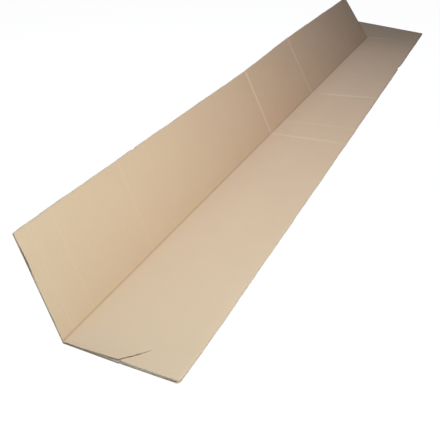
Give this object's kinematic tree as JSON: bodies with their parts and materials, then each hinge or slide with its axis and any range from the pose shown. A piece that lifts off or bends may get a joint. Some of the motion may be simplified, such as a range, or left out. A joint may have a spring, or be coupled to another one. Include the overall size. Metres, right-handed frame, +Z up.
{
  "type": "pallet edge protector",
  "caption": "Long corrugated board angle for a pallet edge, with one lengthwise fold, fluted edges, pressed cross lines, a slit flat end on a skew and a torn near corner with a lifted liner.",
  "frame": {"origin": "on the surface it lies on, at the middle of its overall length and width", "axes": "+Y along the fold from the near, torn end to the far, skew end; +X from the fold towards the base leg's free edge; +Z up from the base leg"},
  "size_m": [0.327, 2.0452, 0.1529],
  "materials": {
    "kraft_board": "matt brown kraft paper over corrugated board"
  },
  "bodies": {
    "root": {"folded_board": "kraft_board"}
  },
  "joints": []
}
